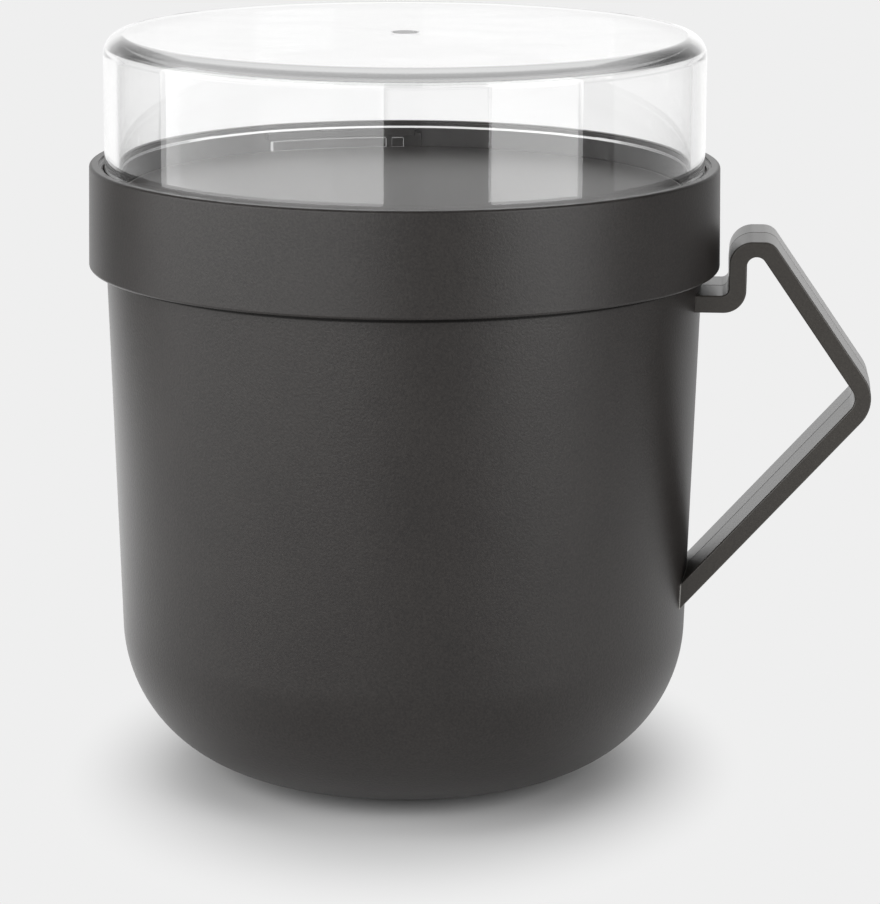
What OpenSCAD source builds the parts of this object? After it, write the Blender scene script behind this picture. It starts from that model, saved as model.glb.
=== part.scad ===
// Lidded soup mug: a moulded cup with a strap handle, a locking lid with a
// shallow topping tray, and a clear cap that locks under keepers in the tray.
// The origin is on the table under the middle of the cup and the handle points
// along +X.

/* [Cup] */
// Height of the lower edge of the lid collar above the table
shoulder_h = 91.6; // [70:0.1:130]
// Outer radius of the cup at the lower edge of the lid collar
shoulder_r = 52.45; // [48:0.05:60]
// Lean of the cup wall from the vertical, in degrees
wall_lean = 1.98; // [0.5:0.01:4]
// Thickness of the cup wall
cup_wall = 2.4; // [2:0.1:3]
// Outer radius of the soft corner between wall and base
corner_r = 26.4; // [18:0.1:30]
// Radius of the flat foot that touches the table
foot_r = 24; // [20:0.5:28]
// Slope of the flank between foot and corner, in degrees
flank_slope = 18; // [12:0.5:24]
// Depth of the recess under the base
foot_recess = 0.8; // [0.4:0.1:1.2]
// Width of the ring that the cup stands on
foot_ring_w = 3.2; // [2:0.1:5]
// Height of the straight step that the lid collar hangs over
shoulder_rise = 1; // [0.5:0.1:2]
// Depth of the step from the wall in to the neck
neck_step = 0.55; // [0.4:0.05:0.7]
// Height of the rim of the cup above the lower edge of the lid collar
rim_rise = 8.7; // [8:0.1:10]
// Rounding of the rim
rim_round = 0.35; // [0.2:0.05:0.5]

/* [Handle] */
// Width of the strap of the handle
strap_w = 20; // [14:0.5:26]
// Thickness of the strap along its parting line
strap_t = 3.3; // [2.6:0.1:4]
// Loss of thickness on each face of the strap from its parting line to its side
strap_draft = 0.13; // [0.05:0.01:0.2]
// Bevel along the side edges of the strap
strap_bevel = 0.3; // [0.1:0.05:0.5]
// Distance of the top face of the level leg below the lid collar
leg_drop = 3.1; // [1:0.1:6]
// Clearance between the lid collar and the upright leg
leg_gap = 1.5; // [1:0.1:4]
// Height of the crown of the hook above the lower edge of the lid collar
crown_rise = 6.4; // [5:0.1:12]
// Lean of the upper arm from the vertical, in degrees
upper_lean = 34.6; // [25:0.1:45]
// Slope of the lower arm from the level, in degrees
lower_slope = 47.7; // [35:0.1:60]
// Reach of the sharp outer corner of the elbow past the upright leg, before it is rounded
elbow_reach = 23.8; // [18:0.1:32]
// Depth of that corner below the lower edge of the lid collar
elbow_drop = 21.7; // [16:0.1:28]

/* [Lid] */
// Height of the lid collar
collar_h = 18.05; // [16:0.05:24]
// Overhang of the lower edge of the collar past the wall of the cup
collar_overhang = 3.05; // [2.5:0.05:4]
// Loss of radius of the collar from its lower edge to its top
collar_draft = 0.2; // [0:0.05:0.5]
// Thickness of the skirt of the lid
skirt_wall = 2.1; // [1.6:0.1:3]
// Rounding of the outer edges of the collar
collar_round = 0.5; // [0.3:0.1:1.2]
// Width of the rim of the tray, between collar and cap
tray_rim_w = 2.4; // [2:0.1:2.8]
// Width of the small ledge round the inner edge of that rim
rim_ledge_w = 0.8; // [0.7:0.05:1]
// Depth of that ledge
rim_ledge_drop = 0.3; // [0.2:0.05:0.8]
// Bevel along the edge between that ledge and the wall of the tray
rim_bevel = 0.4; // [0.2:0.05:0.6]
// Depth of the floor of the tray below the top of the collar
tray_drop = 4.45; // [4:0.05:8]
// Thickness of the floor of the tray
tray_floor_t = 1.8; // [1.2:0.1:3]
// Depth of the gutter round the floor of the tray, below the floor
gutter_drop = 1.5; // [1:0.1:2.5]
// Thickness of the ring that plugs the mouth of the cup
plug_t = 1.8; // [1.2:0.1:2.5]
// Reach of that ring below the lid seal
plug_drop = 4.5; // [3:0.1:8]

/* [Lid lock] */
// Number of lugs round the neck of the cup
lid_lugs = 3; // [2:1:4]
// Length of a lug on the neck, in degrees
lug_arc = 36; // [20:1:40]
// Length of a ledge inside the skirt, in degrees
ledge_arc = 44; // [24:1:46]
// Height of a lug on the neck
lug_h = 2; // [1.5:0.1:2.5]
// Height of a ledge inside the skirt
ledge_h = 2; // [1.5:0.1:2.5]
// Height of the underside of the lugs above the lower edge of the collar
lug_rise = 5; // [4.5:0.1:5.2]
// Length of the stop that stands on the end of a ledge, in degrees
stop_arc = 2.5; // [1.5:0.5:2.5]
// Bearing of the middle of the first lug on the neck from the handle, in degrees
lug_bearing = 60; // [0:1:120]

/* [Cap] */
// Height of the cap above the top of the collar
cap_rise = 22.8; // [15:0.1:40]
// Thickness of the wall of the cap
cap_wall = 2.4; // [1.6:0.1:3]
// Thickness of the top of the cap
cap_top_t = 2.4; // [1.6:0.1:3]
// Outer radius of the corner between wall and top
cap_corner_r = 3.5; // [3:0.1:8]
// Rounding of the lower edge of the cap
cap_edge_r = 0.4; // [0.2:0.05:0.6]
// Diameter of the dimple that the moulding gate leaves in the top
gate_d = 4.6; // [3:0.1:8]
// Depth of that dimple
gate_depth = 0.4; // [0.2:0.1:0.8]

/* [Cap lock] */
// Number of lugs round the foot of the cap
cap_lugs = 3; // [2:1:4]
// Length of a lug of the cap, in degrees
cap_lug_arc = 29; // [15:1:32]
// Height of a lug of the cap
cap_lug_h = 1.8; // [1.4:0.1:2]
// Depth of the step in to the foot of the cap, which the lugs stand out from
cap_foot_step = 1.3; // [1:0.05:1.4]
// Rise of the underside of that step, from the foot out to the wall
cap_step_rise = 0.28; // [0.1:0.02:0.4]
// Bearing of the middle of the first lug from the handle, in degrees
cap_lug_bearing = 109; // [0:1:120]
// Length of the click block at the leading end of a lug
click_w = 2.3; // [1.5:0.1:4]
// Width of the notch between that block and the rest of the lug
click_gap = 1.1; // [0.6:0.1:2]
// Height of a keeper of the lid over a lug of the cap
keeper_h = 1.3; // [0.8:0.1:1.4]
// Length of the stop at the locked end of a keeper, in degrees
keeper_stop_arc = 2.7; // [1.5:0.1:4]

/* [Seals] */
// Thickness of the lid seal
lid_seal_t = 1.6; // [1.2:0.1:1.8]
// Width of the lid seal
lid_seal_w = 2.3; // [2:0.1:2.6]
// Height of the cap seal
cap_seal_t = 0.9; // [0.6:0.1:1.2]
// Width of the cap seal
cap_seal_w = 2; // [1.6:0.1:2.4]

/* [Fits] */
// Clearance beside pieces that turn in each other
turn_gap = 0.3; // [0.2:0.05:0.4]
// Clearance above and below a lug in its lock
lug_gap = 0.3; // [0.2:0.05:0.4]
// Clearance at the ends of a lug in its lock, in degrees
lug_end_gap = 1; // [1:0.5:2]
// Overrun of cuts past the faces that they open
cut = 1; // [0.5:0.1:2]

/* [Hidden] */
$fn = 96;
dark = [0.25, 0.245, 0.24];
dark_light = [0.3, 0.295, 0.29];
silicone = [0.8, 0.8, 0.79];
clear = [0.92, 0.95, 0.96, 0.35];

// Cup: the corner is tangent to the wall above it and to the flank below it
lean_slope = tan(wall_lean);
corner_z = (corner_r / cos(flank_slope)
            + (wall_r(0) - corner_r / cos(wall_lean) - foot_r) * tan(flank_slope))
           / (1 - lean_slope * tan(flank_slope));
corner_x = wall_r(corner_z) - corner_r / cos(wall_lean);
wall_start = [corner_x + corner_r * cos(wall_lean), corner_z - corner_r * sin(wall_lean)];
flank_end = [corner_x + corner_r * sin(flank_slope), corner_z - corner_r * cos(flank_slope)];
bore_corner_r = corner_r - cup_wall;
bore_start = [corner_x + bore_corner_r * cos(wall_lean), corner_z - bore_corner_r * sin(wall_lean)];
bore_floor_z = corner_z - bore_corner_r;
rim_z = shoulder_h + rim_rise;
neck_r = shoulder_r - neck_step;
step_z = shoulder_h + shoulder_rise;

// Lid
collar_r = shoulder_r + collar_overhang;
collar_top = shoulder_h + collar_h;
collar_top_r = collar_r - collar_draft;
skirt_r = collar_r - skirt_wall;
tray_r = collar_top_r - tray_rim_w;
cap_r = tray_r - turn_gap;
floor_z = collar_top - tray_drop;
gutter_z = floor_z - gutter_drop;
lid_seal_top = rim_z + lid_seal_t;
plug_r = bore_r(rim_z) - 2 * turn_gap;
gutter_in = cap_r - cap_wall - turn_gap;

// Lid lock
lug_out_r = skirt_r - turn_gap;
ledge_in_r = neck_r + turn_gap;
lug_z = shoulder_h + lug_rise;
ledge_z = lug_z - lug_gap - ledge_h;
lug_pitch = 360 / lid_lugs;

// Cap and its lock
cap_top = collar_top + cap_rise;
cap_seal_top = gutter_z + cap_seal_t;
cap_bore_r = cap_r - cap_wall;
cap_bore_corner = cap_corner_r - cap_wall;
cap_lug_z = cap_seal_top + turn_gap;
cap_foot_r = cap_r - cap_foot_step;
keeper_in_r = cap_foot_r + turn_gap;
keeper_z = cap_lug_z + cap_lug_h + lug_gap;
cap_step_z = keeper_z + keeper_h + lug_gap;
cap_lug_pitch = 360 / cap_lugs;
click_arc = click_w / cap_r * 180 / PI;
notch_arc = click_gap / cap_r * 180 / PI;

// Handle: each corner's radius is a share of the thickness of the strap
upright_x = collar_r + leg_gap + strap_t;
leg_top = shoulder_h - leg_drop;
leg_bottom = leg_top - strap_t;
crown_z = shoulder_h + crown_rise;
hook_share = 0.48;
leg_elbow_share = 1.25;
leg_crook_share = 0.35;
crown_left_share = 1.3;
crown_right_share = 0.9;
elbow_out_share = 1.95;
elbow_in_share = 0.77;
upper_dir = [sin(upper_lean), -cos(upper_lean)];
upper_out = [cos(upper_lean), sin(upper_lean)];
lower_dir = [-cos(lower_slope), -sin(lower_slope)];
lower_out = [sin(lower_slope), -cos(lower_slope)];
elbow = [upright_x + elbow_reach, shoulder_h - elbow_drop];
arc_points = 8;
buried_x = shoulder_r - 4 * strap_t;

function wall_r(z) = shoulder_r - (shoulder_h - z) * lean_slope;
function bore_r(z) = wall_r(z) - cup_wall / cos(wall_lean);

// Crossing of two lines, each given by a point and a direction
function crossing(p, u, q, v) = p + u * ((q - p)[0] * v[1] - (q - p)[1] * v[0]) / (u[0] * v[1] - u[1] * v[0]);

// Outline of the strap as [corner, radius, points of its arc]: first the side
// that faces down and in, then back along the side that faces up and out, with
// as many points on each. A negative radius marks a corner that opens away
// from the strap.
function strap_corners() = [
    [[buried_x, leg_bottom], 0, 1],
    [[upright_x, leg_bottom], strap_t * leg_elbow_share, arc_points],
    [crossing([upright_x, leg_top], [0, 1], elbow - upper_out * strap_t, upper_dir),
     -strap_t * hook_share, 2 * arc_points],
    [crossing(elbow - upper_out * strap_t, upper_dir, elbow - lower_out * strap_t, lower_dir),
     -strap_t * elbow_in_share, arc_points],
    [crossing([buried_x, leg_bottom], [0, 1], elbow - lower_out * strap_t, lower_dir), 0, 1],
    [crossing([buried_x, leg_bottom], [0, 1], elbow, lower_dir), 0, 1],
    [elbow, strap_t * elbow_out_share, arc_points],
    [crossing([upright_x, crown_z], [1, 0], elbow, upper_dir), strap_t * crown_right_share, arc_points],
    [[upright_x - strap_t, crown_z], strap_t * crown_left_share, arc_points],
    [[upright_x - strap_t, leg_top], -strap_t * leg_crook_share, arc_points],
    [[buried_x, leg_top], 0, 1]
];

module arc_ring(r_in, r_out, z0, z1, a0, a1)
    rotate([0, 0, a0])
        rotate_extrude(angle = a1 - a0)
            translate([r_in, z0])
                square([r_out - r_in, z1 - z0]);

// Quarter disc that rounds an outer edge: above its centre, or below it
module round_edge(x, z, r, above)
    translate([x, z]) intersection() {
        circle(r);
        translate([0, above ? 0 : -r]) square(r);
    }

module cup_outer_2d() {
    polygon([[0, 0], [foot_r, 0], flank_end, wall_start, [shoulder_r, shoulder_h],
             [wall_r(step_z), step_z], [0, step_z]]);
    intersection() {
        translate([corner_x, corner_z]) circle(corner_r);
        square([shoulder_r, shoulder_h]);
    }
    translate([0, step_z]) square([neck_r, rim_z - rim_round - step_z]);
    translate([0, step_z]) square([neck_r - rim_round, rim_z - step_z]);
    round_edge(neck_r - rim_round, rim_z - rim_round, rim_round, true);
}

module cup_bore_2d() {
    polygon([[0, bore_floor_z], [corner_x, bore_floor_z], bore_start,
             [bore_r(rim_z + cut), rim_z + cut], [0, rim_z + cut]]);
    intersection() {
        translate([corner_x, corner_z]) circle(bore_corner_r);
        square([shoulder_r, shoulder_h]);
    }
}

module cup() color(dark) {
    difference() {
        rotate_extrude() difference() {
            cup_outer_2d();
            cup_bore_2d();
        }
        translate([0, 0, -cut]) cylinder(h = foot_recess + cut, r = foot_r - foot_ring_w);
    }
    for (i = [0:lid_lugs - 1]) {
        middle = lug_bearing + i * lug_pitch;
        arc_ring(neck_r - neck_step, lug_out_r, lug_z, lug_z + lug_h,
                 middle - lug_arc / 2, middle + lug_arc / 2);
    }
}

// Points of the outline moved in by d, with each round corner as an arc
function strap_outline(d) = let (c = strap_corners(), n = len(c)) [
    for (i = [0:n - 1])
        let (p = c[i][0],
             a = unit(c[(i + n - 1) % n][0] - p),
             b = unit(c[(i + 1) % n][0] - p),
             na = [a[1], -a[0]],
             nb = [-b[1], b[0]],
             q = crossing(p + na * d, a, p + nb * d, b),
             r = c[i][1] == 0 ? 0 : abs(c[i][1]) + (c[i][1] > 0 ? -d : d),
             half = acos(a * b) / 2,
             mid = q + unit(a + b) * r / sin(half),
             start = atan2((q + a * r / tan(half) - mid)[1], (q + a * r / tan(half) - mid)[0]),
             sweep = (180 - 2 * half) * (c[i][1] > 0 ? 1 : -1))
        each r == 0 ? [q] : [for (k = [0:c[i][2] - 1])
            let (turned = start + sweep * k / (c[i][2] - 1))
            mid + r * [cos(turned), sin(turned)]]
];
function unit(v) = v / norm(v);

module handle() color(dark_light) {
    side = strap_w / 2;
    layers = [[-side, strap_draft + strap_bevel], [strap_bevel - side, strap_draft], [0, 0],
              [side - strap_bevel, strap_draft], [side, strap_draft + strap_bevel]];
    rings = [for (l = layers) [for (p = strap_outline(l[1])) [p[0], l[0], p[1]]]];
    n = len(rings[0]);
    last = len(layers) - 1;
    difference() {
        polyhedron(
            points = [for (r = rings) each r],
            faces = [
                for (i = [0:n / 2 - 2])
                    each [[i, n - 1 - i, n - 2 - i], [i, n - 2 - i, i + 1]],
                for (k = [0:last - 1], i = [0:n - 1])
                    each [[k * n + i, k * n + (i + 1) % n, (k + 1) * n + (i + 1) % n],
                          [k * n + i, (k + 1) * n + (i + 1) % n, (k + 1) * n + i]],
                for (i = [0:n / 2 - 2])
                    each [[last * n + i, last * n + n - 2 - i, last * n + n - 1 - i],
                          [last * n + i, last * n + i + 1, last * n + n - 2 - i]]
            ]);
        translate([0, 0, corner_z - corner_r])
            cylinder(h = step_z - corner_z + corner_r,
                     r1 = wall_r(corner_z - corner_r), r2 = wall_r(step_z));
    }
}

module lid_seal() color(silicone)
    arc_ring(plug_r + turn_gap, plug_r + turn_gap + lid_seal_w, rim_z, lid_seal_top, 0, 360);

module lid_2d() {
    // Collar with its two rounded outer edges
    polygon([[skirt_r, shoulder_h], [collar_r - collar_round, shoulder_h],
             [collar_r, shoulder_h + collar_round], [collar_top_r, collar_top - collar_round],
             [collar_top_r - collar_round, collar_top], [tray_r + rim_ledge_w, collar_top],
             [tray_r + rim_ledge_w, collar_top - rim_ledge_drop],
             [tray_r + rim_bevel, collar_top - rim_ledge_drop],
             [tray_r, collar_top - rim_ledge_drop - rim_bevel],
             [tray_r, gutter_z], [skirt_r, gutter_z]]);
    round_edge(collar_r - collar_round, shoulder_h + collar_round, collar_round, false);
    round_edge(collar_top_r - collar_round, collar_top - collar_round, collar_round, true);
    // Gutter floor, over the lid seal
    translate([plug_r - plug_t, lid_seal_top])
        square([collar_top_r - skirt_wall / 2 - plug_r + plug_t, gutter_z - lid_seal_top]);
    // Inner wall of the gutter and the ring that plugs the mouth of the cup
    translate([plug_r - plug_t, lid_seal_top - plug_drop])
        square([plug_t, floor_z - lid_seal_top + plug_drop]);
    translate([plug_r - plug_t, gutter_z])
        square([gutter_in - plug_r + plug_t, gutter_drop]);
    // Floor of the tray
    translate([0, floor_z - tray_floor_t]) square([gutter_in, tray_floor_t]);
}

module lid() color(dark) {
    rotate_extrude() lid_2d();
    for (i = [0:cap_lugs - 1]) {
        locked = cap_lug_bearing + i * cap_lug_pitch - cap_lug_arc / 2 - lug_end_gap;
        arc_ring(keeper_in_r, tray_r + tray_rim_w / 2, keeper_z, keeper_z + keeper_h,
                 locked - keeper_stop_arc / 2, locked + lug_end_gap + cap_lug_arc);
        arc_ring(keeper_in_r + turn_gap, tray_r + tray_rim_w / 3, cap_lug_z, keeper_z + keeper_h / 2,
                 locked - keeper_stop_arc, locked);
    }
    for (i = [0:lid_lugs - 1]) {
        middle = lug_bearing + i * lug_pitch;
        stop = middle + lug_arc / 2 + lug_end_gap;
        arc_ring(ledge_in_r, skirt_r + skirt_wall / 2, ledge_z, ledge_z + ledge_h,
                 middle - ledge_arc / 2, middle + ledge_arc / 2);
        arc_ring(ledge_in_r + turn_gap, skirt_r + skirt_wall / 3, ledge_z + ledge_h / 2,
                 lug_z + lug_h, stop, stop + stop_arc);
    }
}

module cap_seal() color(silicone)
    arc_ring(cap_bore_r, cap_bore_r + cap_seal_w, gutter_z, cap_seal_top, 0, 360);

module cap_2d() {
    difference() {
        union() {
            translate([0, cap_seal_top + cap_edge_r])
                square([cap_foot_r, cap_step_z - cap_seal_top]);
            translate([0, cap_seal_top]) square([cap_foot_r - cap_edge_r, cap_edge_r]);
            round_edge(cap_foot_r - cap_edge_r, cap_seal_top + cap_edge_r, cap_edge_r, false);
            polygon([[0, cap_step_z], [cap_foot_r, cap_step_z], [cap_r, cap_step_z + cap_step_rise],
                     [cap_r, cap_top - cap_corner_r], [0, cap_top - cap_corner_r]]);
            translate([0, cap_top - cap_corner_r]) square([cap_r - cap_corner_r, cap_corner_r]);
            round_edge(cap_r - cap_corner_r, cap_top - cap_corner_r, cap_corner_r, true);
        }
        translate([0, cap_seal_top - cut])
            square([cap_bore_r, cap_top - cap_corner_r - cap_seal_top + cut]);
        translate([0, cap_top - cap_corner_r - cut])
            square([cap_r - cap_corner_r, cap_corner_r - cap_top_t + cut]);
        translate([cap_r - cap_corner_r, cap_top - cap_corner_r]) circle(cap_bore_corner);
    }
}

module cap() color(clear) {
    difference() {
        rotate_extrude() cap_2d();
        translate([0, 0, cap_top - gate_depth]) cylinder(h = gate_depth + cut, d = gate_d);
    }
    lug_in_r = (cap_bore_r + cap_foot_r) / 2;
    for (i = [0:cap_lugs - 1]) {
        first = cap_lug_bearing + i * cap_lug_pitch - cap_lug_arc / 2;
        arc_ring(lug_in_r, cap_r, cap_lug_z, cap_lug_z + cap_lug_h, first, first + click_arc);
        arc_ring(lug_in_r, cap_r, cap_lug_z, cap_lug_z + cap_lug_h,
                 first + click_arc + notch_arc, first + cap_lug_arc);
    }
}

cup();
handle();
lid_seal();
lid();
cap_seal();
cap();
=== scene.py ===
"""Looks of a lidded soup mug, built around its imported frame.

Sizes are written in millimetres, as on a drawing, and mm() turns them to metres.
Arcs, slopes and bearings are in degrees. The profiles of the turned pieces are
lists of (radius, height).
"""
import math

import bmesh
import bpy
from mathutils import Matrix, Vector


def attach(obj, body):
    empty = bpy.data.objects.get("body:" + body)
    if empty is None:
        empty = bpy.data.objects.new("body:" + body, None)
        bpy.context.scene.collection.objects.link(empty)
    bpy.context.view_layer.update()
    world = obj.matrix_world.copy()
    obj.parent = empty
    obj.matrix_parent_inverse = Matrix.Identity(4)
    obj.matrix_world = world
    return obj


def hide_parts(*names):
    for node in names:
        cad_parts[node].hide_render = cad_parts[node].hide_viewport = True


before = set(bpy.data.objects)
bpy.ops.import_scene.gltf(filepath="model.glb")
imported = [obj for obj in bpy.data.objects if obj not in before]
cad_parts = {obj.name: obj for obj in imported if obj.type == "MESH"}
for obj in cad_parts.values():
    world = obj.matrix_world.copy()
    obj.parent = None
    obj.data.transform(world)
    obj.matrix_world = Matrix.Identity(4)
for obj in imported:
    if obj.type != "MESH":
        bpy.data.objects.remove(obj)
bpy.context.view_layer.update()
bpy.ops.object.select_all(action="DESELECT")

# Sizes of the cup. Its shoulder is the top of the outer wall, where the collar begins.
SHOULDER_H = 91.6
SHOULDER_R = 52.45
WALL_LEAN = 1.98
CUP_WALL = 2.4
CORNER_R = 26.4
FOOT_R = 24.0
FLANK_SLOPE = 18.0
FOOT_RECESS = 0.8
FOOT_RING_W = 3.2
RECESS_ROUND = 0.4
FOOT_BEVEL = 0.15
FOOT_EDGE_W, FOOT_EDGE_H = 0.25, 0.08
STEP_Z = SHOULDER_H + 1.0
STEP_BEVEL = 0.2
NECK_R = SHOULDER_R - 0.55
RIM_Z = SHOULDER_H + 8.7
RIM_ROUND = 0.35
LUG_Z = SHOULDER_H + 5.0
LUG_H = 2.0
LUG_ARC = 36.0
LUG_BEARING = 60.0
LUG_SINK = 0.55
LUG_ROUND = 0.25

# Sizes of the handle, a strap. ELBOW is the outer corner between its two arms.
STRAP_W = 20.0
STRAP_T = 3.3
STRAP_DRAFT = 0.13
STRAP_BEVEL = 0.3
STRAP_LAND = 0.6
LEG_TOP = SHOULDER_H - 3.1
UPRIGHT_X = 60.3
CROWN_Z = SHOULDER_H + 6.4
ELBOW = (84.1, SHOULDER_H - 21.7)
UPPER_LEAN = 34.6
LOWER_SLOPE = 47.7
STRAP_SINK = 1.7
# The groove of the parting line: distances from the middle, and depths there
PARTING_GROOVE = [(0.0, 0.07), (0.1, 0.05), (0.2, 0.0)]

# Sizes of the lid: its collar, tray, plug and the ledges that hold it on the cup
COLLAR_R = 55.5
COLLAR_TOP_R = 55.3
COLLAR_TOP = SHOULDER_H + 18.05
COLLAR_TAPER = 0.06
COLLAR_ROUND = 0.5
SKIRT_R = COLLAR_R - 2.1
SKIRT_ROUND = 0.3
SKIRT_BEVEL = 0.2
TRAY_R = 52.9
RIM_LEDGE_W = 0.8
RIM_LEDGE_DROP = 0.3
RIM_LEDGE_ROUND = 0.12
RIM_BEVEL = 0.4
TRAY_FLOOR_Z = COLLAR_TOP - 4.45
TRAY_FLOOR_T = 1.8
TRAY_EDGE_ROUND = 0.3
TRAY_UNDER_ROUND = 0.5
GUTTER_Z = TRAY_FLOOR_Z - 1.5
GUTTER_IN = 49.9
GUTTER_ROUND = 0.2
SEAL_TOP = RIM_Z + 1.6
LID_SEAL_W = 2.3
LID_SEAL_ROUND = 0.3
PLUG_T = 1.8
PLUG_DROP = 4.5
PLUG_ROUND = 0.5
PLUG_BORE_ROUND = 0.4
LEDGE_Z = LUG_Z - 2.3
LEDGE_H = 2.0
LEDGE_ARC = 44.0
LEDGE_SINK = 1.05
LEDGE_ROUND = 0.2
STOP_ARC = 2.5
STOP_SINK = 0.7

# Sizes of the clear cap, its lock in the lid and its seal
CAP_R = 52.6
CAP_TOP = COLLAR_TOP + 22.8
CAP_WALL = 2.4
CAP_CORNER_R = 3.5
CAP_BORE_R = CAP_R - CAP_WALL
CAP_FOOT_R = CAP_R - 1.3
CAP_FOOT_Z = GUTTER_Z + 0.9
CAP_FOOT_ROUND = 0.4
CAP_BORE_ROUND = 0.25
CAP_LUG_Z = CAP_FOOT_Z + 0.3
CAP_LUG_H = 1.8
CAP_LUG_ARC = 29.0
CAP_LUG_BEARING = 109.0
CAP_LUG_ROUND = 0.15
CLICK_W = 2.3
NOTCH_W = 1.1
GATE_R = 1.9
GATE_DEPTH = 0.4
GATE_LIP_W, GATE_LIP_H = 0.15, 0.02
KEEPER_Z = CAP_LUG_Z + CAP_LUG_H + 0.3
KEEPER_H = 1.3
KEEPER_SINK = 1.2
KEEPER_ROUND = 0.15
KEEPER_STOP_ARC = 2.7
KEEPER_STOP_SINK = 0.8
CAP_STEP_Z = KEEPER_Z + KEEPER_H + 0.3
CAP_STEP_RISE = 0.28
CAP_SEAL_W = 2.0
CAP_SEAL_ROUND = 0.25

# What the two locks share: three lugs each, their clearances, and fine moulded edges
LUGS = 3
PITCH = 360 / LUGS
TURN_GAP = 0.3
TURN_GAP_ARC = 1.0
EDGE = 0.05
EDGE_RISE = 0.01

# Rings of points that divide long stretches: heights on walls, and radii on flat ones
CUP_RINGS = [40, 55, 70, 85]
COLLAR_RING_HIGH, COLLAR_RING_LOW = 104, 98
CAP_RINGS = [112, 120]
BORE_RING, TRAY_RING = 12, 25
CAP_TOP_RINGS = [20, 38]

ROUND_STEPS = 256
BEND_STEPS = 14
BEVEL_STEPS = 4
WELD = 1e-6


def mm(value):
    """A length or a place in millimetres, turned to metres."""
    return value * 0.001


# Modelling by hand
def arc(cx, cz, radius, start, end, steps):
    """Points of an arc of a profile, from angle start to end in degrees."""
    turns = [math.radians(start + (end - start) * k / steps) for k in range(steps + 1)]
    return [(cx + radius * math.cos(t), cz + radius * math.sin(t)) for t in turns]


def rounded(x, z, radius, start, end, steps):
    """The quarter arc that rounds the square corner of a profile at (x, z)."""
    first, last = math.radians(start), math.radians(end)
    cx = x - radius * (math.cos(first) + math.cos(last))
    cz = z - radius * (math.sin(first) + math.sin(last))
    return arc(cx, cz, radius, start, end, steps)


def begin_piece(name):
    """A new piece in edit mode, with a small plane in it, all selected."""
    bpy.ops.object.select_all(action="DESELECT")
    bpy.ops.mesh.primitive_plane_add(size=mm(1))
    piece = bpy.context.object
    piece.name = piece.data.name = name
    bpy.ops.object.mode_set(mode="EDIT")
    return piece


def draw_line(points, closed):
    """Merges the selected plane to one vertex and extrudes it from point to point."""
    places = [Vector([mm(c) for c in p]) for p in points]
    bpy.ops.mesh.merge(type="CENTER")
    bpy.ops.transform.translate(value=places[0])
    for here, there in zip(places, places[1:] + places[:1] if closed else places[1:]):
        bpy.ops.mesh.extrude_region_move(TRANSFORM_OT_translate={"value": there - here})


def weld():
    """Joins doubled vertices and turns the faces outwards, in edit mode."""
    bpy.ops.mesh.select_all(action="SELECT")
    bpy.ops.mesh.remove_doubles(threshold=WELD)
    bpy.ops.mesh.normals_make_consistent(inside=False)


def pick(piece, wanted):
    """Selects, in edit mode, the vertices whose place answers to wanted."""
    mesh = bmesh.from_edit_mesh(piece.data)
    for vertex in mesh.verts:
        vertex.select_set(wanted(vertex.co))
    mesh.select_flush_mode()
    bmesh.update_edit_mesh(piece.data)


def lathe(name, profile):
    """A round piece, spun from a profile that is open at the axis or closed."""
    piece = begin_piece(name)
    on_axis = profile[0][0] == 0
    draw_line([(r, 0, z) for r, z in profile], not on_axis)
    bpy.ops.mesh.select_all(action="SELECT")
    bpy.ops.mesh.spin(steps=ROUND_STEPS, angle=math.tau, center=(0, 0, 0), axis=(0, 0, 1))
    weld()
    bpy.ops.object.mode_set(mode="OBJECT")
    return piece


def arc_block(name, r_in, r_out, z0, z1, start, sweep, rounding=0.0):
    """A block bent round the axis, such as a lug, from start over sweep degrees.

    The spin goes clockwise round an axis that points up, so the axis points down.
    """
    turn = math.radians(start)
    corners = [(r_in, z0), (r_out, z0), (r_out, z1), (r_in, z1)]
    piece = begin_piece(name)
    draw_line([(r * math.cos(turn), r * math.sin(turn), z) for r, z in corners], True)
    bpy.ops.mesh.select_all(action="SELECT")
    bpy.ops.mesh.remove_doubles(threshold=WELD)
    bpy.ops.mesh.edge_face_add()
    steps = max(2, round(sweep * ROUND_STEPS / 360))
    bpy.ops.mesh.spin(steps=steps, angle=math.radians(sweep), center=(0, 0, 0), axis=(0, 0, -1))
    weld()
    bpy.ops.object.mode_set(mode="OBJECT")
    if rounding:
        bpy.ops.object.modifier_add(type="BEVEL")
        bevel = piece.modifiers[-1]
        bevel.width = mm(rounding)
        bevel.segments = 3
        bevel.limit_method = "ANGLE"
        bevel.angle_limit = math.radians(50)
        bpy.ops.object.modifier_apply(modifier=bevel.name)
    return piece


def join(piece, block):
    """Joins a block to a piece as one closed shell."""
    bpy.ops.object.select_all(action="DESELECT")
    bpy.context.view_layer.objects.active = piece
    piece.select_set(True)
    bpy.ops.object.modifier_add(type="BOOLEAN")
    boolean = piece.modifiers[-1]
    boolean.operation = "UNION"
    boolean.solver = "EXACT"
    boolean.object = block
    bpy.ops.object.modifier_apply(modifier=boolean.name)
    bpy.data.objects.remove(block)


def finish_piece(piece, body, node, material, crease=32):
    """Smooths a piece, gives it its material and its place in the frame."""
    bpy.ops.object.select_all(action="DESELECT")
    bpy.context.view_layer.objects.active = piece
    piece.select_set(True)
    bpy.ops.object.shade_smooth_by_angle(angle=math.radians(crease))
    bpy.ops.object.modifier_add(type="WEIGHTED_NORMAL")
    piece.modifiers[-1].keep_sharp = True
    bpy.ops.object.modifier_apply(modifier=piece.modifiers[-1].name)
    piece.data.materials.clear()
    piece.data.materials.append(material)
    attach(piece, body)
    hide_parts(node)


# Walls of the cup
LEAN = math.tan(math.radians(WALL_LEAN))


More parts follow.
